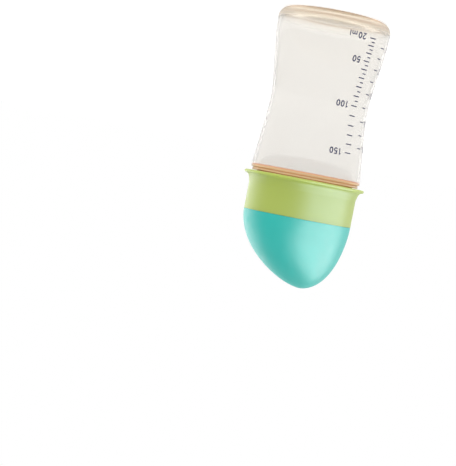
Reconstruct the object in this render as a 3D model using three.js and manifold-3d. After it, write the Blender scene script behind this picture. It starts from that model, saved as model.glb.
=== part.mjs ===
// Wide-neck baby bottle: a waisted clear body, a silicone nipple clamped to its neck by a screw
// collar, and a domed hood that plugs onto the collar. Millimetres, +Z up. The origin is the
// centre of the base, on the surface that the bottle stands on.
import * as THREE from "three";
import { mergeVertices } from "three/addons/utils/BufferGeometryUtils.js";
import Module from "manifold-3d";

const wasm = await Module();
wasm.setup();

// General
const SIDES = 36; // facets round every turned surface
const GAP = 0.3; // left between pieces that touch

// Body. The wall swells to the base and to the shoulder from a waist a little above its middle.
const BASE_RADIUS = 30.2;
const BASE_CORNER = 5.8;
const FOOT_RADIUS = 17; // inner edge of the flat ring that the bottle stands on
const PUNT_HEIGHT = 1.2; // how far the middle of the base is raised
const PUNT_SLOPE = 8; // run over which the floor rises to it on the inside
const FLOOR_THICKNESS = 2.8;
const WALL = 1.4;
const WALL_KNOTS = [
  [BASE_RADIUS, 7.5],
  [29.85, 14],
  [28.4, 25.7],
  [26.6, 40],
  [26.1, 48.5],
  [26.55, 57],
  [27.9, 70],
  [29.15, 84],
];
const SHOULDER_RADIUS = 29.3;
const SHOULDER_Z = 85.6; // where the wall meets the two ridges of the shoulder
const RIDGE_HEIGHT = 1.2;
const RIDGE_GROOVE = 0.35;
const SHOULDER_TOP = 88.3;
const SHOULDER_INSIDE = 86.8; // underside of the shoulder, inside the body
const INSIDE_CORNER = 0.6;

// Neck and its thread of two starts. The collar's thread has the same lead and sits just under it.
const NECK_RADIUS = 25.6;
const NECK_BORE = 23.6;
const NECK_TOP = 95.4;
const STARTS = 2;
const LEAD = 8;
const THREAD_HEIGHT = 1.3;
const THREAD_ROOT_WIDTH = 1.9;
const THREAD_CREST_WIDTH = 0.9;
const THREAD_RUN_OUT = 20; // degrees over which a thread's crest fades in and out
const THREAD_STEP = 10; // degrees
const NECK_THREAD = { z: 90.3, from: 0, to: 160 };
const COLLAR_THREAD = { z: 90.3 - 1.75, from: 70, to: 220 };

// Nipple, by heights above the underside of its flange
const NIPPLE_Z = NECK_TOP + GAP;
const FLANGE_RADIUS = 25.3;
const FLANGE_THICKNESS = 3.2;
const GROOVE_RADIUS = 21;
const GROOVE_TOP = 5.8;
const NIPPLE_BORE = 19;
const STEM_KNOTS = [
  [22.1, 8.6],
  [20.4, 11.7],
  [16.4, 15.3],
  [11.5, 19],
  [7.6, 22.5],
  [5.9, 26],
  [5.35, 29.5],
  [5.55, 33],
  [6.1, 37.6],
];
const STEM_WALL = 1.8;
const TIP_HEIGHT = 44.5;
const TIP_THICKNESS = 1.6;
const FEED_HOLE_RADIUS = 0.4;
const RING_STEPS = 5; // stepped rings inside the cone that keep it from collapsing
const RINGS_FROM = 10.6;
const RING_RISE = 2.8;
const RING_WALL = 2.1;

// Collar
const COLLAR_Z = SHOULDER_TOP + 0.4;
const COLLAR_HEIGHT = 20.5;
const COLLAR_RADIUS = 28.8;
const COLLAR_BORE = 27.3;
const CUP_RADIUS = 25.4; // inside of the wall above the clamping ledge
const LIP_RADIUS = 32.25;
const LIP_THICKNESS = 1.6;
const FLARE_HEIGHT = 6.5;
const LEDGE_RADIUS = 21.5;
const LEDGE_THICKNESS = 2;
const SPIGOT_RADIUS = 26.7;
const SPIGOT_HEIGHT = 3;

// Hood. Its dome leans to -X, more and more towards the top.
const HOOD_Z = COLLAR_Z + COLLAR_HEIGHT + GAP;
const HOOD_HEIGHT = 36.5;
const HOOD_WALL = 1.4;
const HOOD_SOCKET_RADIUS = 27.1;
const HOOD_LEAN = 8.2;
const LEAN_POWER = 2;
const DOME_POWER = 1.85;
const DOME_ROUNDNESS = 0.59;
const DOME_POINTS = 12;

const point = (r, z) => new THREE.Vector2(r, z);

// Points of an arc in the (radius, height) plane. Angles are in degrees: 0 outwards and 90 up.
function arc(r, z, radiusR, radiusZ, from, to, steps) {
  return Array.from({ length: steps + 1 }, (_, i) => {
    const a = THREE.MathUtils.degToRad(from + ((to - from) * i) / steps);
    return point(r + radiusR * Math.cos(a), z + radiusZ * Math.sin(a));
  });
}

function smooth(knots, steps) {
  return new THREE.SplineCurve(knots.map(([r, z]) => point(r, z))).getPoints(steps);
}

function moved(points, dr, dz) {
  return points.map((p) => point(p.x + dr, p.y + dz));
}

// Radius of an outline that rises all the way, at one height.
function radiusAt(points, z) {
  const i = points.findIndex((p) => p.y >= z);
  const [a, b] = [points[i - 1], points[i]];
  return THREE.MathUtils.mapLinear(z, a.y, b.y, a.x, b.x);
}

// A turned solid. The outline goes up on the outside and down on the inside.
function turned(outline) {
  return new THREE.LatheGeometry(outline, SIDES).rotateX(Math.PI / 2);
}

function solid(geometry) {
  const bare = geometry.clone();
  bare.deleteAttribute("normal");
  bare.deleteAttribute("uv");
  const merged = mergeVertices(bare, 1e-3);
  return new wasm.Manifold(
    new wasm.Mesh({
      numProp: 3,
      vertProperties: merged.attributes.position.array,
      triVerts: new Uint32Array(merged.index.array),
    }),
  );
}

function geometryOf(made) {
  const mesh = made.getMesh();
  return new THREE.BufferGeometry()
    .setAttribute("position", new THREE.BufferAttribute(mesh.vertProperties, 3))
    .setIndex(new THREE.BufferAttribute(mesh.triVerts, 1));
}

// One start of a thread on a wall of radius root. Its section is extruded straight and then wound
// round the axis along the helix; at both ends it sinks into the wall.
function thread(root, outwards, run, turnedBy) {
  const sunk = root - outwards * 0.5;
  const crest = root + outwards * THREAD_HEIGHT;
  const section = new THREE.Shape([
    point(sunk, -THREAD_ROOT_WIDTH / 2),
    point(crest, -THREAD_CREST_WIDTH / 2),
    point(crest, THREAD_CREST_WIDTH / 2),
    point(sunk, THREAD_ROOT_WIDTH / 2),
  ]);
  const sweep = run.to - run.from;
  const rib = new THREE.ExtrudeGeometry(section, {
    depth: 1,
    steps: sweep / THREAD_STEP,
    bevelEnabled: false,
  });
  const at = rib.attributes.position;
  for (let i = 0; i < at.count; i++) {
    const along = sweep * (1 - at.getZ(i));
    const fade = Math.min(1, along / THREAD_RUN_OUT, (sweep - along) / THREAD_RUN_OUT);
    const height = (at.getX(i) - sunk) * THREE.MathUtils.lerp(0.2, 1, fade);
    const angle = THREE.MathUtils.degToRad(run.from + along + turnedBy);
    const z = run.z + at.getY(i) + (LEAD * (run.from + along)) / 360;
    at.setXYZ(i, (sunk + height) * Math.cos(angle), (sunk + height) * Math.sin(angle), z);
  }
  return solid(rib);
}

function threaded(geometry, root, outwards, run) {
  let made = solid(geometry);
  for (let i = 0; i < STARTS; i++) {
    made = made.add(thread(root, outwards, run, (360 / STARTS) * i));
  }
  return geometryOf(made);
}

function bottleBody() {
  const wall = smooth(WALL_KNOTS, 14);
  const groove = SHOULDER_RADIUS - RIDGE_GROOVE;
  const ridge2 = SHOULDER_RADIUS - 0.7;
  const innerCorner = BASE_CORNER - WALL;
  const innerWall = moved(smooth(WALL_KNOTS, 10), -WALL, 0).reverse();
  return threaded(
    turned([
      point(0, PUNT_HEIGHT),
      point(FOOT_RADIUS - 2, PUNT_HEIGHT),
      point(FOOT_RADIUS, 0),
      ...arc(BASE_RADIUS - BASE_CORNER, BASE_CORNER, BASE_CORNER, BASE_CORNER, -90, 0, 5),
      ...wall,
      point(SHOULDER_RADIUS, SHOULDER_Z),
      point(SHOULDER_RADIUS, SHOULDER_Z + RIDGE_HEIGHT - 0.2),
      point(groove - 0.4, SHOULDER_Z + RIDGE_HEIGHT),
      point(ridge2, SHOULDER_Z + RIDGE_HEIGHT + 0.2),
      point(ridge2, SHOULDER_TOP - 0.3),
      point(ridge2 - 0.3, SHOULDER_TOP),
      point(NECK_RADIUS, SHOULDER_TOP),
      point(NECK_RADIUS, NECK_TOP - 0.4),
      point(NECK_RADIUS - 0.4, NECK_TOP),
      point(NECK_BORE + 0.4, NECK_TOP),
      point(NECK_BORE, NECK_TOP - 0.4),
      point(NECK_BORE, SHOULDER_INSIDE),
      point(SHOULDER_RADIUS - WALL - INSIDE_CORNER, SHOULDER_INSIDE),
      point(SHOULDER_RADIUS - WALL, SHOULDER_INSIDE - INSIDE_CORNER),
      ...innerWall,
      ...arc(
        BASE_RADIUS - BASE_CORNER,
        FLOOR_THICKNESS + innerCorner,
        innerCorner,
        innerCorner,
        0,
        -90,
        4,
      ),
      point(FOOT_RADIUS, FLOOR_THICKNESS),
      point(FOOT_RADIUS - PUNT_SLOPE, FLOOR_THICKNESS + PUNT_HEIGHT),
      point(0, FLOOR_THICKNESS + PUNT_HEIGHT),
    ]),
    NECK_RADIUS,
    1,
    NECK_THREAD,
  );
}

function nipple() {
  const edge = 0.4;
  const stem = smooth(STEM_KNOTS, 16);
  const [tipRadius, tipFrom] = STEM_KNOTS.at(-1);
  const hole = FEED_HOLE_RADIUS;
  const outerTip = arc(hole, tipFrom, tipRadius - hole, TIP_HEIGHT - tipFrom, 0, 90, 6);
  const innerTip = arc(
    hole,
    tipFrom,
    tipRadius - STEM_WALL - hole,
    TIP_HEIGHT - TIP_THICKNESS - tipFrom,
    90,
    0,
    5,
  );
  const ringsTop = RINGS_FROM + RING_STEPS * RING_RISE;
  const innerStem = moved(stem, -STEM_WALL, 0).filter((p) => p.y > ringsTop + 1 && p.y < tipFrom);
  const rings = Array.from({ length: RING_STEPS }, (_, i) => {
    const top = ringsTop - i * RING_RISE;
    const r = radiusAt(stem, top) - RING_WALL;
    return [point(r, top), point(r, top - RING_RISE)];
  });
  const outline = [
    point(NIPPLE_BORE, 0),
    point(FLANGE_RADIUS - edge, 0),
    point(FLANGE_RADIUS, edge),
    point(FLANGE_RADIUS, FLANGE_THICKNESS - edge),
    point(FLANGE_RADIUS - edge, FLANGE_THICKNESS),
    point(GROOVE_RADIUS, FLANGE_THICKNESS),
    point(GROOVE_RADIUS, GROOVE_TOP),
    point(STEM_KNOTS[0][0] - 0.2, GROOVE_TOP + 0.8),
    ...stem,
    ...outerTip.slice(1),
    ...innerTip,
    ...innerStem.reverse(),
    ...rings.flat(),
    point(NIPPLE_BORE + 0.8, RINGS_FROM - 2),
    point(NIPPLE_BORE, GROOVE_TOP),
    point(NIPPLE_BORE, 0),
  ];
  return turned(outline).translate(0, 0, NIPPLE_Z);
}

function collar() {
  const top = COLLAR_Z + COLLAR_HEIGHT;
  const ledge = NIPPLE_Z + FLANGE_THICKNESS + GAP;
  const tip = LIP_THICKNESS / 2;
  const chamfer = 0.8;
  const flare = smooth(
    [
      [LIP_RADIUS - tip, LIP_THICKNESS],
      [LIP_RADIUS - 2, 2.2],
      [COLLAR_RADIUS + 0.6, 3.8],
      [COLLAR_RADIUS, FLARE_HEIGHT],
    ],
    6,
  );
  return threaded(
    turned([
      point(COLLAR_BORE, COLLAR_Z + chamfer),
      point(COLLAR_BORE + chamfer, COLLAR_Z),
      ...arc(LIP_RADIUS - tip, COLLAR_Z + tip, tip, tip, -90, 60, 4),
      ...moved(flare, 0, COLLAR_Z),
      point(COLLAR_RADIUS, top),
      point(SPIGOT_RADIUS, top),
      point(SPIGOT_RADIUS, top + SPIGOT_HEIGHT - 0.3),
      point(SPIGOT_RADIUS - 0.3, top + SPIGOT_HEIGHT),
      point(CUP_RADIUS, top + SPIGOT_HEIGHT),
      point(CUP_RADIUS, ledge + LEDGE_THICKNESS),
      point(LEDGE_RADIUS, ledge + LEDGE_THICKNESS),
      point(LEDGE_RADIUS, ledge),
      point(COLLAR_BORE, ledge),
      point(COLLAR_BORE, COLLAR_Z + chamfer),
    ]),
    COLLAR_BORE,
    -1,
    COLLAR_THREAD,
  );
}

// Outline of a dome from its rim up to the axis, with more points where it closes.
function dome(rimRadius, height) {
  return Array.from({ length: DOME_POINTS + 1 }, (_, i) => {
    const rise = 1 - (1 - i / DOME_POINTS) ** 2;
    const r = rimRadius * (1 - rise ** DOME_POWER) ** DOME_ROUNDNESS;
    return point(r, HOOD_Z + height * rise);
  });
}

function hood() {
  const outside = dome(COLLAR_RADIUS, HOOD_HEIGHT);
  const inside = dome(COLLAR_RADIUS - HOOD_WALL, HOOD_HEIGHT - HOOD_WALL - 0.2);
  const socketTop = COLLAR_Z + COLLAR_HEIGHT + SPIGOT_HEIGHT + GAP;
  const shell = turned([
    ...inside.reverse().filter((p) => p.y > socketTop + 0.5),
    point(HOOD_SOCKET_RADIUS, socketTop),
    point(HOOD_SOCKET_RADIUS, HOOD_Z),
    ...outside,
  ]);
  const at = shell.attributes.position;
  for (let i = 0; i < at.count; i++) {
    const rise = THREE.MathUtils.clamp((at.getZ(i) - HOOD_Z) / HOOD_HEIGHT, 0, 1);
    at.setX(i, at.getX(i) - HOOD_LEAN * rise ** LEAN_POWER);
  }
  return shell;
}

const clear = { transparent: true, metalness: 0 };
const finishes = {
  tintedPlastic: new THREE.MeshStandardMaterial({
    ...clear,
    color: 0xeadbc4,
    roughness: 0.08,
    opacity: 0.4,
  }),
  silicone: new THREE.MeshStandardMaterial({
    ...clear,
    color: 0xdfe0e0,
    roughness: 0.25,
    opacity: 0.55,
  }),
  limePlastic: new THREE.MeshStandardMaterial({ color: 0xbccc84, roughness: 0.38, metalness: 0 }),
  tealPlastic: new THREE.MeshStandardMaterial({ color: 0x6fd3c8, roughness: 0.38, metalness: 0 }),
};

const bottle = new THREE.Group();

function addPiece(name, geometry, material) {
  const mesh = new THREE.Mesh(geometry, material);
  mesh.name = name;
  bottle.add(mesh);
}

addPiece("bottle_body", bottleBody(), finishes.tintedPlastic);
addPiece("nipple", nipple(), finishes.silicone);
addPiece("collar", collar(), finishes.limePlastic);
addPiece("hood", hood(), finishes.tealPlastic);

export default bottle;
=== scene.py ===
"""Looks of a wide-neck baby bottle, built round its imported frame: clear waisted body with a printed
scale, silicone nipple, lime screw collar and teal hood. Outlines are in millimetres."""

import math

import bmesh
import bpy
from mathutils import Matrix, Vector

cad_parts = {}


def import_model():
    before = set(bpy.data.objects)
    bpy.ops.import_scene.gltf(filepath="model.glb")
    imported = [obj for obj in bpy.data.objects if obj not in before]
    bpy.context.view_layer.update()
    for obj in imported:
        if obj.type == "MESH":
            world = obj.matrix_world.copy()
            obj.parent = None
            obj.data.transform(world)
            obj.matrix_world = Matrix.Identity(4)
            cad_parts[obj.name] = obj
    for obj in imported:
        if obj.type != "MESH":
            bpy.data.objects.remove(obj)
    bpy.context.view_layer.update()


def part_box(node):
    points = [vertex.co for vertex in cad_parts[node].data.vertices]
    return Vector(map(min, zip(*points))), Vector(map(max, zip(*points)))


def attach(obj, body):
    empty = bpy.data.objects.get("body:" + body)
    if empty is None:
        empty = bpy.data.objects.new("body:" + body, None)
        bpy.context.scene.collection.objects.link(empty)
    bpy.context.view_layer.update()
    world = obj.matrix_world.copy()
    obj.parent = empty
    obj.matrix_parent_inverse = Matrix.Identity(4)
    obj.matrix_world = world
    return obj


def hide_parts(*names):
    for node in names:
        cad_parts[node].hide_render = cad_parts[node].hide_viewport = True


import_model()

MM = 0.001
SEGMENTS = 176  # round every turned piece


def box_mm(node):
    """A node's lowest and highest corners in millimetres."""
    return [[c / MM for c in corner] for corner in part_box(node)]


# Heights and radii that come from the frame.
BODY_TOP = box_mm("bottle_body")[1][2]
NIPPLE_Z, TIP_Z = box_mm("nipple")[0][2], box_mm("nipple")[1][2]
COLLAR_Z = box_mm("collar")[0][2]
SPIGOT_TOP = box_mm("collar")[1][2]
LIP_RADIUS = box_mm("collar")[1][0]
HOOD_Z, HOOD_TOP = box_mm("hood")[0][2], box_mm("hood")[1][2]

# Body
BASE_RADIUS = 30.2
BASE_CORNER = 5.8
FOOT_RADIUS = 17
PUNT_HEIGHT = 1.2
PUNT_SLOPE = 8
FLOOR_THICKNESS = 2.8
WALL = 1.4
WALL_KNOTS = [
    (BASE_RADIUS, 7.5),
    (29.85, 14),
    (28.4, 25.7),
    (26.6, 40),
    (26.1, 48.5),
    (26.55, 57),
    (27.9, 70),
    (29.15, 84),
]
SHOULDER_RADIUS = 29.3
SHOULDER_Z = 85.6
SHOULDER_TOP = 88.3
SHOULDER_INSIDE = 86.8
NECK_RADIUS = 25.6
NECK_BORE = 23.6

# Threads
STARTS = 2
LEAD = 8
THREAD_HEIGHT = 1.3
THREAD_ROOT_WIDTH = 1.9
THREAD_CREST_WIDTH = 0.9
THREAD_RUN_OUT = 20
NECK_THREAD = {"z": 90.3, "from": 0, "to": 160}
COLLAR_THREAD = {"z": 90.3 - 1.75, "from": 70, "to": 220}

# Nipple, by heights above the underside of its flange
FLANGE_RADIUS = 25.3
FLANGE_THICKNESS = 3.2
GROOVE_RADIUS = 21
GROOVE_TOP = 5.8
NIPPLE_BORE = 19
STEM_KNOTS = [
    (22.1, 8.6),
    (20.4, 11.7),
    (16.4, 15.3),
    (11.5, 19),
    (7.6, 22.5),
    (5.9, 26),
    (5.35, 29.5),
    (5.55, 33),
    (6.1, 37.6),
]
STEM_WALL = 1.8
TIP_THICKNESS = 1.6
FEED_HOLE_RADIUS = 0.4
RING_STEPS = 5
RINGS_FROM = 10.6
RING_RISE = 2.8
RING_WALL = 2.1
RIBS_FROM = 300  # degrees
RIB_PITCH = 8
RIB_COUNT = 5
RIB_HEIGHT = 0.6

# Collar and hood
COLLAR_RADIUS = 28.8
COLLAR_BORE = 27.3
CUP_RADIUS = 25.4
LIP_THICKNESS = 1.6
FLARE_HEIGHT = 6.5
LEDGE_RADIUS = 21.5
LEDGE_Z = NIPPLE_Z + FLANGE_THICKNESS + 0.3
LEDGE_THICKNESS = 2
SPIGOT_RADIUS = 26.7
SPIGOT_HEIGHT = 3
SEAM = 0.08  # between the collar and the rim of the hood
HOOD_WALL = 1.4
HOOD_SOCKET_RADIUS = 27.1
HOOD_LEAN = 8.2
LEAN_POWER = 2
DOME_POWER = 1.85
DOME_ROUNDNESS = 0.59
DOME_POINTS = 56

# Printed scale. Angles are in degrees from the -Y side towards -X.
INK_LIFT = 0.02
INK_THICKNESS = 0.05
TICK_STROKE = 0.54
DIGIT_STROKE = 0.58
DIGIT_HEIGHT = 3.3
DIGIT_STRETCH = 1.1
DIGIT_ADVANCE = 0.7  # of the digit height, before it is stretched
M_ADVANCE = 0.92
ML_TICKS_END = 47.8
ML_LONG_TICK = 4.05
ML_SHORT_TICK = 2.3
ML_NUMERALS_FROM = 34.8
OUNCE_ML = 28.41
OZ_TICKS_FROM = 67.7
OZ_TICK = 3.6
OZ_NUMERALS_FROM = 80

# Display colours, 0 to 255
CLEAR, FAINT_AMBER, AMBER = (250, 249, 247), (252, 246, 236), (250, 234, 208)
# Painted shade: a darker brown on the outer corner of the base.
BASE_CORNER_SHADE = (186, 150, 120)
# Shoulder ring: the pale amber is its own tint; the dark orange is painted shade along its edges and
# also the colour of its painted glow.
RING_LIGHT, RING_SHADE_AND_GLOW = (255, 230, 192), (236, 148, 72)
# Painted shade: the clear wall turns grey-brown where it is seen edge on.
CLEAR_EDGE_SHADE = (150, 122, 100)
# The silicone's edge colour is painted shade where it is seen edge on.
SILICONE_FACE, SILICONE_EDGE_SHADE = (236, 236, 235), (104, 104, 107)
LIME, DEEP_LIME = (184, 200, 94), (177, 193, 84)
TEAL, DEEP_TEAL = (32, 196, 186), (24, 189, 178)
INK, PALE_INK = (12, 24, 74), (20, 34, 88)
LIME_SHINE = (0.6, 0.78, 1, 1)  # a linear tint of the lime plastic's reflections
RING_GLOW = 0.055  # strength of the painted glow that the shoulder ring gives off, though it is no lamp


# ---------------------------------------------------------------- outlines


def arc(r, z, radius_r, radius_z, start, end, steps):
    """Points of an arc, with angles in degrees: 0 outwards and 90 up."""
    angles = [math.radians(start + (end - start) * i / steps) for i in range(steps + 1)]
    return [(r + radius_r * math.cos(a), z + radius_z * math.sin(a)) for a in angles]


def smooth(knots, steps):
    """Points of a curve through the knots, evenly spaced by knot."""
    points = []
    for i in range(steps + 1):
        at = (len(knots) - 1) * i / steps
        k = min(int(at), len(knots) - 2)
        t = at - k
        a = knots[max(k - 1, 0)]
        b, c = knots[k], knots[k + 1]
        d = knots[min(k + 2, len(knots) - 1)]
        points.append(tuple(catmull(a[j], b[j], c[j], d[j], t) for j in (0, 1)))
    return points


def catmull(a, b, c, d, t):
    v0, v1 = (c - a) / 2, (d - b) / 2
    return (
        (2 * b - 2 * c + v0 + v1) * t**3 + (-3 * b + 3 * c - 2 * v0 - v1) * t**2 + v0 * t + b
    )


def moved(points, dr, dz):
    return [(r + dr, z + dz) for r, z in points]


def rounded(corners, steps=5):
    """An outline whose corners (r, z, radius) are rounded by a curve that starts radius away."""
    points = []
    for i, (r, z, radius) in enumerate(corners):
        if not radius:
            points.append((r, z))
            continue
        here = Vector((r, z))
        before = Vector(corners[i - 1][:2])
        after = Vector(corners[(i + 1) % len(corners)][:2])
        p = here + (before - here).normalized() * radius
        q = here + (after - here).normalized() * radius
        for k in range(steps + 1):
            t = k / steps
            points.append(tuple(p * (1 - t) ** 2 + here * 2 * t * (1 - t) + q * t**2))
    return points


def radius_at(points, z):
    """Radius at one height of an outline that rises all the way."""
    for (r0, z0), (r1, z1) in zip(points, points[1:]):
        if z0 <= z <= z1:
            return r0 + (r1 - r0) * (z - z0) / (z1 - z0)
    return points[0][0] if z < points[0][1] else points[-1][0]


def evenly(r, z0, z1, step):
    """Points straight up or down a wall, closer than step."""
    n = max(1, math.ceil(abs(z1 - z0) / step))
    return [(r, z0 + (z1 - z0) * i / n) for i in range(n + 1)]


def plain(points):
    return [(r, z, 0) for r, z in points]


# ---------------------------------------------------------------- meshes


def finish_mesh(name, bm, body, slot, material, *replaced, smooth_shading=True):
    """Turns bm into a piece that rides on a body. The slot argument is not used."""
    bmesh.ops.recalc_face_normals(bm, faces=bm.faces)
    mesh = bpy.data.meshes.new(name)
    bm.to_mesh(mesh)
    bm.free()
    if smooth_shading:
        mesh.shade_smooth()
    mesh.materials.append(material)
    piece = bpy.data.objects.new(name, mesh)
    bpy.context.scene.collection.objects.link(piece)
    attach(piece, body)
    if replaced:
        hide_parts(*replaced)
    return piece


def turned(outline, relief=None, lean=None):
    """A closed turned mesh. The outline goes up the outside and down the inside; relief gives
    what is added to a radius at an angle and height, and lean what is added to x at a height."""
    bm = bmesh.new()
    rings = []
    for r, z in outline:
        x0 = lean(z) if lean else 0
        if r < 1e-6:
            rings.append([bm.verts.new((x0 * MM, 0, z * MM))])
            continue
        ring = []
        for i in range(SEGMENTS):
            angle = math.tau * i / SEGMENTS
            at = r + (relief(r, z, math.degrees(angle)) if relief else 0)
            ring.append(
                bm.verts.new(
                    ((x0 + at * math.cos(angle)) * MM, at * math.sin(angle) * MM, z * MM)
                )
            )
        rings.append(ring)
    pairs = list(zip(rings, rings[1:]))
    if len(rings[0]) > 1 and len(rings[-1]) > 1:
        pairs.append((rings[-1], rings[0]))
    for low, high in pairs:
        for i in range(SEGMENTS):
            j = (i + 1) % SEGMENTS
            around = low[i % len(low)], low[j % len(low)], high[j % len(high)], high[i % len(high)]
            bm.faces.new(list(dict.fromkeys(around)))
    return bm


def weigh_normals(piece):
    """Keeps broad faces flat next to their small rounded edges."""
    modifier = piece.modifiers.new("weighted_normals", "WEIGHTED_NORMAL")
    modifier.weight = 100


def thread_height(run, z, degrees):
    """How far a thread of STARTS starts stands out of its wall at one place."""
    highest = 0
    for start in range(STARTS):
        turn = (degrees - run["from"] - start * 360 / STARTS) % 360
        sweep = run["to"] - run["from"]
        if turn > sweep:
            continue
        centre = run["z"] + LEAD * (run["from"] + turn) / 360
        off = abs(z - centre)
        flank = (THREAD_ROOT_WIDTH / 2 - off) / ((THREAD_ROOT_WIDTH - THREAD_CREST_WIDTH) / 2)
        fade = min(1, turn / THREAD_RUN_OUT, (sweep - turn) / THREAD_RUN_OUT)
        highest = max(highest, ease(flank) * ease(fade) * THREAD_HEIGHT)
    return highest


def ease(t):
    t = min(max(t, 0), 1)
    return t * t * (3 - 2 * t)


# ---------------------------------------------------------------- materials


class Nodes:
    """Short ways to build a node material."""

    def __init__(self, name):
        self.material = bpy.data.materials.new(name)
        self.material.use_nodes = True
        self.tree = self.material.node_tree
        self.shader = self.tree.nodes["Principled BSDF"]
        self.output = self.tree.nodes["Material Output"]

    def add(self, kind, **values):
        node = self.tree.nodes.new(kind)
        for key, value in values.items():
            if hasattr(node, key):
                setattr(node, key, value)
            else:
                node.inputs[key.replace("_", " ")].default_value = value
        return node

    def link(self, source, target):
        self.tree.links.new(source, target)

    def set(self, **values):
        for key, value in values.items():
            self.shader.inputs[key.replace("_", " ")].default_value = value

    def noise(self, scale, detail=3, stretch=(1, 1, 1)):
        """Noise over the piece's own coordinates, in cycles per metre."""
        place = self.add("ShaderNodeTexCoord")
        mapping = self.add("ShaderNodeMapping")
        mapping.inputs["Scale"].default_value = stretch
        texture = self.add("ShaderNodeTexNoise", Scale=scale, Detail=detail)
        self.link(place.outputs["Object"], mapping.inputs["Vector"])
        self.link(mapping.outputs["Vector"], texture.inputs["Vector"])
        return texture.outputs["Fac"]

    def ramp(self, source, low, high, start=0.3, end=0.7):
        """Maps a value to a range of numbers."""
        node = self.add(
            "ShaderNodeMapRange", From_Min=start, From_Max=end, To_Min=low, To_Max=high
        )
        self.link(source, node.inputs["Value"])
        return node.outputs["Result"]

    def mix(self, factor, low, high):
        """A colour between two colours, of which the low one may come from another node."""
        node = self.add("ShaderNodeMix", data_type="RGBA")
        if isinstance(low, tuple):
            node.inputs["A"].default_value = low
        else:
            self.link(low, node.inputs["A"])
        node.inputs["B"].default_value = high
        self.link(factor, node.inputs["Factor"])
        return node.outputs["Result"]

    def place(self):
        """The height of a point and its distance from the bottle's axis, in metres."""
        point = self.add("ShaderNodeTexCoord").outputs["Object"]
        split = self.add("ShaderNodeSeparateXYZ")
        self.link(point, split.inputs["Vector"])
        across = self.add("ShaderNodeVectorMath", operation="MULTIPLY")
        self.link(point, across.inputs[0])
        across.inputs[1].default_value = (1, 1, 0)
        length = self.add("ShaderNodeVectorMath", operation="LENGTH")
        self.link(across.outputs["Vector"], length.inputs[0])
        return split.outputs["Z"], length.outputs["Value"]

    def math(self, operation, a, b):
        """A sum or product of two values from other nodes."""
        node = self.add("ShaderNodeMath", operation=operation)
        self.link(a, node.inputs[0])
        self.link(b, node.inputs[1])
        return node.outputs["Value"]

    def facing(self):
        """0 where a surface faces the eye, and 1 where it is seen edge on."""
        return self.add("ShaderNodeLayerWeight").outputs["Facing"]

    def bump(self, source, distance):
        node = self.add("ShaderNodeBump", Distance=distance)
        self.link(source, node.inputs["Height"])
        self.link(node.outputs["Normal"], self.shader.inputs["Normal"])


def srgb(r, g, b):
    """A display colour of 0 to 255 as a linear colour."""

    def linear(value):
        c = value / 255
        return c / 12.92 if c <= 0.04045 else ((c + 0.055) / 1.055) ** 2.4

    return (linear(r), linear(g), linear(b), 1)


BAND_TOP = 100  # millimetres


def grey(value):
    return (value, value, value, 1)


def by_height(n, source, marks):
    """A colour that changes with a height, at marks in millimetres up to BAND_TOP."""
    band = n.add("ShaderNodeValToRGB")
    n.link(n.ramp(source, 0, 1, 0, BAND_TOP * MM), band.inputs["Fac"])
    stops = band.color_ramp.elements
    for i, (z, colour) in enumerate(marks):
        stop = stops[i] if i < 2 else stops.new(z / BAND_TOP)
        stop.position, stop.color = z / BAND_TOP, colour
    return band.outputs["Color"]


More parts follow.
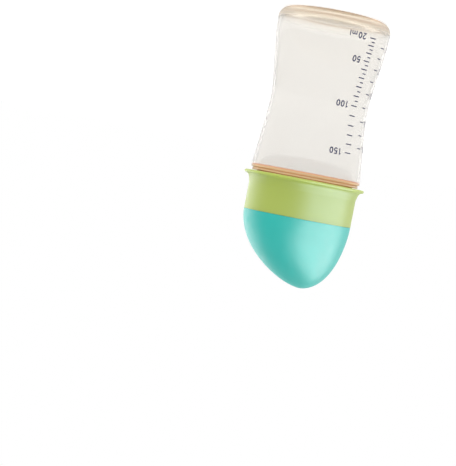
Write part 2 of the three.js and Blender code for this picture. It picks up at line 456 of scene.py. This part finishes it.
def tinted_plastic():
    n = Nodes("clear_amber_plastic")
    height, radius = n.place()
    clear, light, ring_shade_and_glow = srgb(*CLEAR), srgb(*RING_LIGHT), srgb(*RING_SHADE_AND_GLOW)
    # The amber near the base and the pale amber ring are the plastic's own tint; the dark orange
    # lines at the ring's edges are painted shade.
    tint = by_height(
        n,
        height,
        [
            (0, srgb(*AMBER)),
            (1.1, srgb(*AMBER)),
            (2.7, srgb(*FAINT_AMBER)),
            (7, clear),
            (SHOULDER_Z - 0.7, clear),
            (SHOULDER_Z - 0.2, ring_shade_and_glow),
            (SHOULDER_Z + 0.3, light),
            (SHOULDER_Z + 1, light),
            (SHOULDER_Z + 1.35, ring_shade_and_glow),
            (SHOULDER_Z + 1.8, light),
            (SHOULDER_TOP - 0.3, light),
            (SHOULDER_TOP + 0.1, ring_shade_and_glow),
            (SHOULDER_TOP + 0.6, clear),
        ],
    )
    # Painted shade: the outer corner of the base is darkened towards brown.
    outwards = n.ramp(radius, 0, 1, 23 * MM, 24.5 * MM)
    corner = n.math("MULTIPLY", outwards, n.ramp(height, 1, 0, 0.8 * MM, 2.2 * MM))
    tint = n.mix(corner, tint, srgb(*BASE_CORNER_SHADE))
    # Painted shade: above the base, the clear wall darkens to grey-brown where it is seen edge on.
    above_base = n.ramp(height, 0, 1, 4 * MM, 9 * MM)
    edge = n.math("MULTIPLY", n.ramp(n.facing(), 0, 0.75, 0.72, 1), above_base)
    n.link(n.mix(edge, tint, srgb(*CLEAR_EDGE_SHADE)), n.shader.inputs["Base Color"])
    through = by_height(
        n,
        height,
        [
            (0, grey(0.98)),
            (5, grey(0.98)),
            (9, grey(0.87)),
            (SHOULDER_Z - 0.7, grey(0.87)),
            (SHOULDER_Z, grey(0.5)),
            (SHOULDER_TOP, grey(0.5)),
            (SHOULDER_TOP + 0.5, grey(0.88)),
        ],
    )
    n.link(through, n.shader.inputs["Transmission Weight"])
    # Painted glow: the shoulder ring gives off light in its dark orange, though it is no lamp.
    glow = by_height(
        n,
        height,
        [
            (0, grey(0)),
            (SHOULDER_Z - 0.4, grey(0)),
            (SHOULDER_Z, ring_shade_and_glow),
            (SHOULDER_TOP, ring_shade_and_glow),
            (SHOULDER_TOP + 0.3, grey(0)),
        ],
    )
    n.link(glow, n.shader.inputs["Emission Color"])
    n.set(IOR=1.47, Emission_Strength=RING_GLOW)
    polish, haze = n.ramp(n.noise(90), 0.015, 0.05), n.ramp(height, 0.34, 0, 4.5 * MM, 9 * MM)
    n.link(n.math("ADD", polish, haze), n.shader.inputs["Roughness"])
    n.bump(n.noise(60, 1, (1, 1, 0.4)), 0.00003)
    absorbed = n.add("ShaderNodeVolumeAbsorption", Color=(0.97, 0.65, 0.1, 1), Density=12)
    n.link(absorbed.outputs["Volume"], n.output.inputs["Volume"])
    return n.material


def silicone():
    n = Nodes("clear_silicone")
    n.set(IOR=1.41, Transmission_Weight=0.93)
    # Painted shade: the silicone darkens to grey where it is seen edge on.
    edge = n.ramp(n.facing(), 0, 0.8, 0.6, 1)
    colour = n.mix(edge, srgb(*SILICONE_FACE), srgb(*SILICONE_EDGE_SHADE))
    n.link(colour, n.shader.inputs["Base Color"])
    n.link(n.ramp(n.noise(220), 0.03, 0.08), n.shader.inputs["Roughness"])
    n.bump(n.noise(420, 3), 0.00003)
    return n.material


def satin_plastic(name, colour, deep_colour, shine=(1, 1, 1, 1)):
    n = Nodes(name)
    n.set(IOR=1.48, Subsurface_Weight=0.5, Subsurface_Scale=0.004)
    n.set(Subsurface_Radius=(1, 1, 1), Specular_Tint=shine)
    n.link(n.mix(n.noise(35), srgb(*colour), srgb(*deep_colour)), n.shader.inputs["Base Color"])
    n.link(n.ramp(n.noise(260), 0.42, 0.52), n.shader.inputs["Roughness"])
    n.bump(n.noise(2600, 2), 0.00002)
    return n.material


def printed_ink():
    n = Nodes("printed_ink")
    n.link(n.mix(n.noise(900), srgb(*INK), srgb(*PALE_INK)), n.shader.inputs["Base Color"])
    n.link(n.ramp(n.noise(700), 0.35, 0.5), n.shader.inputs["Roughness"])
    n.bump(n.noise(3000, 2), 0.00001)
    return n.material


# ---------------------------------------------------------------- body and its scale

WAIST = smooth(WALL_KNOTS, 90)
CORNER_FROM = BASE_RADIUS - BASE_CORNER
INNER_CORNER = BASE_CORNER - WALL
OUTER_WALL = arc(CORNER_FROM, BASE_CORNER, BASE_CORNER, BASE_CORNER, -90, 0, 14) + WAIST
INNER_WALL = arc(
    CORNER_FROM, FLOOR_THICKNESS + INNER_CORNER, INNER_CORNER, INNER_CORNER, -90, 0, 10
) + moved(WAIST, -WALL, 0)


def bottle_body():
    ridge = SHOULDER_RADIUS - 0.7
    corners = [
        (0, PUNT_HEIGHT, 0),
        (FOOT_RADIUS - 2, PUNT_HEIGHT, 1),
        (FOOT_RADIUS, 0, 1),
        *plain(OUTER_WALL),
        (SHOULDER_RADIUS, SHOULDER_Z, 0.3),
        (SHOULDER_RADIUS, SHOULDER_Z + 1, 0.4),
        (ridge - 0.25, SHOULDER_Z + 1.25, 0.25),
        (ridge, SHOULDER_Z + 1.55, 0.15),
        (ridge, SHOULDER_TOP, 0.5),
        (NECK_RADIUS, SHOULDER_TOP, 0.4),
        *plain(evenly(NECK_RADIUS, SHOULDER_TOP + 0.5, BODY_TOP - 0.6, 0.14)),
        (NECK_RADIUS, BODY_TOP, 0.5),
        (NECK_BORE, BODY_TOP, 0.5),
        (NECK_BORE, SHOULDER_INSIDE, 0.6),
        (SHOULDER_RADIUS - WALL, SHOULDER_INSIDE, 1),
        (SHOULDER_RADIUS - WALL, SHOULDER_Z, 0),
        *plain(INNER_WALL[::-1]),
        (FOOT_RADIUS, FLOOR_THICKNESS, 4),
        (FOOT_RADIUS - PUNT_SLOPE, FLOOR_THICKNESS + PUNT_HEIGHT, 4),
        (0, FLOOR_THICKNESS + PUNT_HEIGHT, 0),
    ]

    def relief(r, z, degrees):
        on_neck = abs(r - NECK_RADIUS) < 1e-6 and z > SHOULDER_TOP
        return thread_height(NECK_THREAD, z, degrees) if on_neck else 0

    bm = turned(rounded(corners), relief)
    material = tinted_plastic()
    piece = finish_mesh("body_shell", bm, "bottle", "tinted_plastic", material, "bottle_body")
    weigh_normals(piece)


def height_of(millilitres):
    """How high the bottle is filled by a volume."""
    volume, step = 0, 0.05
    z = FLOOR_THICKNESS
    while volume < millilitres:
        volume += math.pi * radius_at(INNER_WALL, z) ** 2 * step / 1000
        z += step
    return z


def on_wall(degrees, z, lift):
    """A point on the body's wall, lifted off it."""
    r = radius_at(OUTER_WALL, z) + lift
    a = math.radians(degrees)
    return Vector((-r * math.sin(a), -r * math.cos(a), z)) * MM


def bend(x, y, rx, ry, start, end, steps=12):
    """Points of an elliptical stroke, with angles in degrees."""
    return arc(x, y, rx, ry, start, end, steps)


# Centre lines of the strokes, in digit heights.
GLYPHS = {
    "0": [bend(0.27, 0.5, 0.215, 0.425, 90, 450, 28)],
    "1": [[(0.12, 0.78), (0.32, 0.94), (0.32, 0)]],
    "2": [bend(0.27, 0.69, 0.205, 0.235, 170, -38) + [(0.055, 0.075), (0.51, 0.075)]],
    "3": [bend(0.25, 0.72, 0.185, 0.205, 160, -85), bend(0.25, 0.295, 0.215, 0.22, 85, -160)],
    "4": [[(0.4, 0), (0.4, 0.9), (0.04, 0.27), (0.55, 0.27)]],
    "5": [[(0.47, 0.925), (0.13, 0.925), (0.09, 0.5)] + bend(0.26, 0.32, 0.21, 0.245, 125, -155)],
    "m": [
        [(0.06, 0), (0.06, 0.68)],
        [(0.06, 0.42)] + bend(0.23, 0.44, 0.15, 0.17, 170, 0, 8) + [(0.38, 0)],
        [(0.38, 0.42)] + bend(0.55, 0.44, 0.15, 0.17, 170, 0, 8) + [(0.7, 0)],
    ],
    "l": [[(0.08, 0), (0.08, 1)]],
}
MITRE_LIMIT = 1.7


def add_stroke(bm, points, start, z, width):
    """A printed line on the wall, through points in millimetres right of the start and above z."""
    closed = (Vector(points[0]) - Vector(points[-1])).length < 1e-6
    line = [Vector(p) for p in (points[:-1] if closed else points)]
    r = radius_at(OUTER_WALL, z)
    loops = []
    for i, here in enumerate(line):
        before = line[i - 1] if i or closed else here
        after = line[(i + 1) % len(line)] if i < len(line) - 1 or closed else here
        into = (here - before).normalized() if before != here else (after - here).normalized()
        out = (after - here).normalized() if after != here else into
        along = (into + out).normalized()
        side = Vector((-along.y, along.x))
        mitre = min(1 / max(abs(side.dot(Vector((-into.y, into.x)))), 0.1), MITRE_LIMIT)
        edge = side * mitre * width / 2
        loop = []
        for offset, lift in ((edge, 0), (-edge, 0), (-edge, INK_THICKNESS), (edge, INK_THICKNESS)):
            at = here + offset
            degrees = start - math.degrees(at.x / r)
            loop.append(bm.verts.new(on_wall(degrees, z + at.y, INK_LIFT + lift)))
        loops.append(loop)
    pairs = list(zip(loops, loops[1:]))
    if closed:
        pairs.append((loops[-1], loops[0]))
    for a, b in pairs:
        for k in range(4):
            bm.faces.new((a[k], a[(k + 1) % 4], b[(k + 1) % 4], b[k]))
    if not closed:
        bm.faces.new(loops[0])
        bm.faces.new(loops[-1])


def add_tick(bm, start, length, z):
    steps = 6
    add_stroke(bm, [(length * i / steps, 0) for i in range(steps + 1)], start, z, TICK_STROKE)


def add_text(bm, text, start, z, height=DIGIT_HEIGHT, stretch=DIGIT_STRETCH):
    """Text on the wall that starts at an angle and is centred on a height."""
    x = 0
    for letter in text:
        for stroke in GLYPHS[letter]:
            points = [((x + u) * height * stretch, (v - 0.5) * height) for u, v in stroke]
            add_stroke(bm, points, start, z, DIGIT_STROKE * height / DIGIT_HEIGHT)
        x += M_ADVANCE if letter == "m" else DIGIT_ADVANCE


def printed_scale():
    ink = printed_ink()

    def print_piece(name, draw):
        bm = bmesh.new()
        draw(bm)
        finish_mesh(name, bm, "bottle", "tinted_plastic", ink, smooth_shading=False)

    def ml_ticks(bm):
        for ml in [*range(20, 100, 5), *range(100, 151, 10)]:
            length = ML_LONG_TICK if ml % 10 == 0 else ML_SHORT_TICK
            add_tick(bm, ML_TICKS_END, length, height_of(ml))

    def ml_numerals(bm):
        for ml in (20, 50, 100, 150):
            add_text(bm, str(ml), ML_NUMERALS_FROM, height_of(ml))
        add_text(bm, "ml", ML_NUMERALS_FROM - 10.6, height_of(20) - 0.25, 2.8, 1.3)

    def oz_ticks(bm):
        for halves in range(2, 11):
            add_tick(bm, OZ_TICKS_FROM, OZ_TICK, height_of(halves * OUNCE_ML / 2))

    def oz_numerals(bm):
        for oz in range(1, 6):
            add_text(bm, str(oz), OZ_NUMERALS_FROM, height_of(oz * OUNCE_ML))

    print_piece("scale_ml_ticks", ml_ticks)
    print_piece("scale_ml_numerals", ml_numerals)
    print_piece("scale_oz_ticks", oz_ticks)
    print_piece("scale_oz_numerals", oz_numerals)


# ---------------------------------------------------------------- nipple


def nipple():
    stem = smooth(STEM_KNOTS, 70)
    tip_radius, tip_from = STEM_KNOTS[-1]
    tip_height = TIP_Z - NIPPLE_Z
    hole = FEED_HOLE_RADIUS
    outer_tip = arc(hole, tip_from, tip_radius - hole, tip_height - tip_from, 0, 90, 16)
    inner_height = tip_height - TIP_THICKNESS - tip_from
    inner_tip = arc(hole, tip_from, tip_radius - STEM_WALL - hole, inner_height, 90, 0, 14)
    rings_top = RINGS_FROM + RING_STEPS * RING_RISE
    inner_stem = [p for p in moved(stem, -STEM_WALL, 0) if rings_top + 1 < p[1] < tip_from]
    rings = []
    for i in range(RING_STEPS):
        top = rings_top - i * RING_RISE
        r = radius_at(stem, top) - RING_WALL
        rings += [(r, top, 0.45), (r, top - RING_RISE, 0.45)]
    corners = [
        *plain(evenly(NIPPLE_BORE, GROOVE_TOP - 0.5, 0.5, 0.5)),
        (NIPPLE_BORE, 0, 0.4),
        (FLANGE_RADIUS, 0, 0.5),
        (FLANGE_RADIUS, 1.2, 0.2),
        (FLANGE_RADIUS - 0.35, 1.4, 0.15),
        (FLANGE_RADIUS - 0.35, 1.8, 0.15),
        (FLANGE_RADIUS, 2, 0.2),
        (FLANGE_RADIUS, FLANGE_THICKNESS, 0.6),
        (FLANGE_RADIUS - 2, FLANGE_THICKNESS, 0.3),
        (FLANGE_RADIUS - 2.3, FLANGE_THICKNESS - 0.3, 0.2),
        (FLANGE_RADIUS - 2.9, FLANGE_THICKNESS - 0.3, 0.2),
        (FLANGE_RADIUS - 3.2, FLANGE_THICKNESS, 0.3),
        (GROOVE_RADIUS, FLANGE_THICKNESS, 0.5),
        (GROOVE_RADIUS, GROOVE_TOP, 0.4),
        (STEM_KNOTS[0][0] - 0.1, GROOVE_TOP + 0.5, 0.5),
        *plain(stem),
        *plain(outer_tip[1:]),
        *plain(inner_tip),
        *plain(inner_stem[::-1]),
        *rings,
        (NIPPLE_BORE + 0.8, RINGS_FROM - 2, 0.8),
        (NIPPLE_BORE, GROOVE_TOP, 0.8),
    ]

    def relief(r, z, degrees):
        """Vent ribs inside the foot of the cone."""
        turn = (degrees - RIBS_FROM) % 360 / RIB_PITCH
        inside = abs(r - NIPPLE_BORE) < 1e-6 and 1 < z - NIPPLE_Z < GROOVE_TOP
        if not inside or turn > RIB_COUNT:
            return 0
        return -RIB_HEIGHT * math.sin(math.pi * (turn % 1)) ** 2

    bm = turned(moved(rounded(corners), 0, NIPPLE_Z), relief)
    piece = finish_mesh("silicone_nipple", bm, "nipple", "silicone", silicone(), "nipple")
    weigh_normals(piece)


# ---------------------------------------------------------------- collar and hood


def collar(material):
    top = SPIGOT_TOP - SPIGOT_HEIGHT
    tip = LIP_THICKNESS / 2
    flare = smooth(
        [
            (LIP_RADIUS - tip, LIP_THICKNESS),
            (LIP_RADIUS - 2, 2.2),
            (COLLAR_RADIUS + 0.6, 3.8),
            (COLLAR_RADIUS, FLARE_HEIGHT),
        ],
        30,
    )
    corners = [
        (COLLAR_BORE + 0.8, COLLAR_Z, 0.3),
        *plain(arc(LIP_RADIUS - tip, COLLAR_Z + tip, tip, tip, -90, 60, 10)),
        *plain(moved(flare, 0, COLLAR_Z)),
        *plain(evenly(COLLAR_RADIUS, COLLAR_Z + FLARE_HEIGHT + 1, top - 1, 2)),
        (COLLAR_RADIUS, top, 0.12),
        (SPIGOT_RADIUS, top, 0.2),
        (SPIGOT_RADIUS, SPIGOT_TOP, 0.4),
        (CUP_RADIUS, SPIGOT_TOP, 0.4),
        (CUP_RADIUS, LEDGE_Z + LEDGE_THICKNESS, 0.6),
        (LEDGE_RADIUS, LEDGE_Z + LEDGE_THICKNESS, 0.5),
        (LEDGE_RADIUS, LEDGE_Z, 0.5),
        (COLLAR_BORE, LEDGE_Z, 0.5),
        *plain(evenly(COLLAR_BORE, LEDGE_Z - 1, COLLAR_Z + 1, 0.16)),
        (COLLAR_BORE, COLLAR_Z + 0.8, 0),
    ]

    def relief(r, z, degrees):
        return -thread_height(COLLAR_THREAD, z, degrees) if abs(r - COLLAR_BORE) < 1e-6 else 0

    bm = turned(rounded(corners), relief)
    piece = finish_mesh("screw_collar", bm, "collar", "lime_plastic", material, "collar")
    weigh_normals(piece)
    return piece


def dome(rim_radius, height):
    """Outline of a dome from its rim up to the axis, with more points where it closes."""
    points = []
    for i in range(DOME_POINTS + 1):
        rise = 1 - (1 - i / DOME_POINTS) ** 2
        r = rim_radius * (1 - rise**DOME_POWER) ** DOME_ROUNDNESS
        points.append((r, HOOD_Z + height * rise))
    return points


def hood_lean(z):
    rise = min(max((z - HOOD_Z) / (HOOD_TOP - HOOD_Z), 0), 1)
    return -HOOD_LEAN * rise**LEAN_POWER


def hood(material):
    height = HOOD_TOP - HOOD_Z
    outside = dome(COLLAR_RADIUS, height)
    inside = dome(COLLAR_RADIUS - HOOD_WALL, height - HOOD_WALL - 0.2)[::-1]
    socket_top = SPIGOT_TOP + 0.3
    rim = SPIGOT_TOP - SPIGOT_HEIGHT + SEAM
    corners = [
        *plain(p for p in inside if p[1] > socket_top + 0.5),
        (HOOD_SOCKET_RADIUS, socket_top, 0.2),
        (HOOD_SOCKET_RADIUS, rim, 0.3),
        (COLLAR_RADIUS, rim, 0.12),
        *plain(p for p in outside if p[1] > HOOD_Z + 0.5),
    ]
    bm = turned(rounded(corners), lean=hood_lean)
    piece = finish_mesh("dome_hood", bm, "hood", "teal_plastic", material, "hood")
    weigh_normals(piece)
    return piece


# ---------------------------------------------------------------- stage

CAMERA_DISTANCE = 0.8
EYE_LEVEL = 0.098  # the mouth of the body is seen edge on
AIM = Vector((0.03465, 0, 0.1243))
ROLL = 190.87  # the bottle is seen mouth down and leaning
SENSOR = 36  # millimetres along the image's longer side
LENS = 115.8


def camera():
    eye = Vector((0, -CAMERA_DISTANCE, EYE_LEVEL))
    forward = (AIM - eye).normalized()
    right = forward.cross(Vector((0, 0, 1))).normalized()
    up = right.cross(forward)
    level = Matrix((right, up, -forward)).transposed()
    data = bpy.data.cameras.new("camera")
    data.sensor_width = SENSOR
    data.lens = LENS
    data.clip_start = 0.01
    holder = bpy.data.objects.new("camera", data)
    holder.matrix_world = (
        Matrix.Translation(eye) @ (level @ Matrix.Rotation(math.radians(ROLL), 3, "Z")).to_4x4()
    )
    bpy.context.scene.collection.objects.link(holder)
    bpy.context.scene.camera = holder


AMBIENT = 0.6  # the world's strength as diffuse light
REFLECTED = 0.95  # and in reflections
KEY = Vector((-1, -0.55, 0.45)).normalized()
KEY_SIZE, KEY_ENERGY = 2.4, 145
RIM = Vector((0.75, 0.66, 0.2)).normalized()
RIM_SIZE, RIM_ENERGY = 1, 8


def world():
    """White to the camera and through clear plastic, and dimmer to everything else."""
    made = bpy.data.worlds.new("studio")
    made.use_nodes = True
    made.cycles.sampling_method = "NONE"
    tree = made.node_tree
    background = tree.nodes["Background"]

    def math_node(operation, *values):
        node = tree.nodes.new("ShaderNodeMath")
        node.operation = operation
        for socket, value in zip(node.inputs, values):
            if isinstance(value, (int, float)):
                socket.default_value = value
            else:
                tree.links.new(value, socket)
        return node.outputs[0]

    path = tree.nodes.new("ShaderNodeLightPath")
    seen = math_node("MAXIMUM", path.outputs["Is Camera Ray"], path.outputs["Is Transmission Ray"])
    soft = math_node("MULTIPLY_ADD", path.outputs["Is Glossy Ray"], REFLECTED - AMBIENT, AMBIENT)
    strength = tree.nodes.new("ShaderNodeMix")
    strength.data_type = "FLOAT"
    strength.inputs["B"].default_value = 1
    tree.links.new(seen, strength.inputs["Factor"])
    tree.links.new(soft, strength.inputs["A"])
    background.inputs["Color"].default_value = (1, 1, 1, 1)
    tree.links.new(strength.outputs["Result"], background.inputs["Strength"])
    bpy.context.scene.world = made


def floor():
    bm = bmesh.new()
    bmesh.ops.create_grid(bm, x_segments=1, y_segments=1, size=3)
    mesh = bpy.data.meshes.new("floor")
    bm.to_mesh(mesh)
    bm.free()
    n = Nodes("pale_floor")
    n.set(Base_Color=grey(0.5), Roughness=0.8, Emission_Color=grey(1), Emission_Strength=0.8)
    mesh.materials.append(n.material)
    holder = bpy.data.objects.new("floor", mesh)
    bpy.context.scene.collection.objects.link(holder)


def top_light():
    """A large soft light overhead that gives the object its contact shadow."""
    data = bpy.data.lights.new("top_light", "AREA")
    data.size = 1
    data.energy = 2.4
    lamp = bpy.data.objects.new("top_light", data)
    lamp.location = (-0.25, -0.25, 1.2)
    lamp.rotation_euler = (-lamp.location).to_track_quat("-Z", "Y").to_euler()
    lamp.visible_glossy = False
    bpy.context.scene.collection.objects.link(lamp)


def soft_box(name, towards, size, energy, *lit):
    """A large soft light that only adds shine, and only to some pieces."""
    data = bpy.data.lights.new(name, "AREA")
    data.size = size
    data.energy = energy
    data.use_shadow = False
    lamp = bpy.data.objects.new(name, data)
    lamp.location = towards + Vector((0, 0, 0.1))
    lamp.rotation_euler = towards.to_track_quat("Z", "Y").to_euler()
    lamp.visible_diffuse = False
    lamp.visible_transmission = False
    bpy.context.scene.collection.objects.link(lamp)
    receivers = bpy.data.collections.new(name + "_receivers")
    for piece in lit:
        receivers.objects.link(piece)
    lamp.light_linking.receiver_collection = receivers


def stage():
    camera()
    world()
    top_light()
    floor()
    bpy.context.scene.view_settings.view_transform = "Standard"


stage()
bottle_body()
printed_scale()
nipple()
covers = [
    collar(satin_plastic("lime_plastic", LIME, DEEP_LIME, LIME_SHINE)),
    hood(satin_plastic("teal_plastic", TEAL, DEEP_TEAL)),
]
soft_box("key_shine", KEY, KEY_SIZE, KEY_ENERGY, *covers)
soft_box("rim_shine", RIM, RIM_SIZE, RIM_ENERGY, *covers)
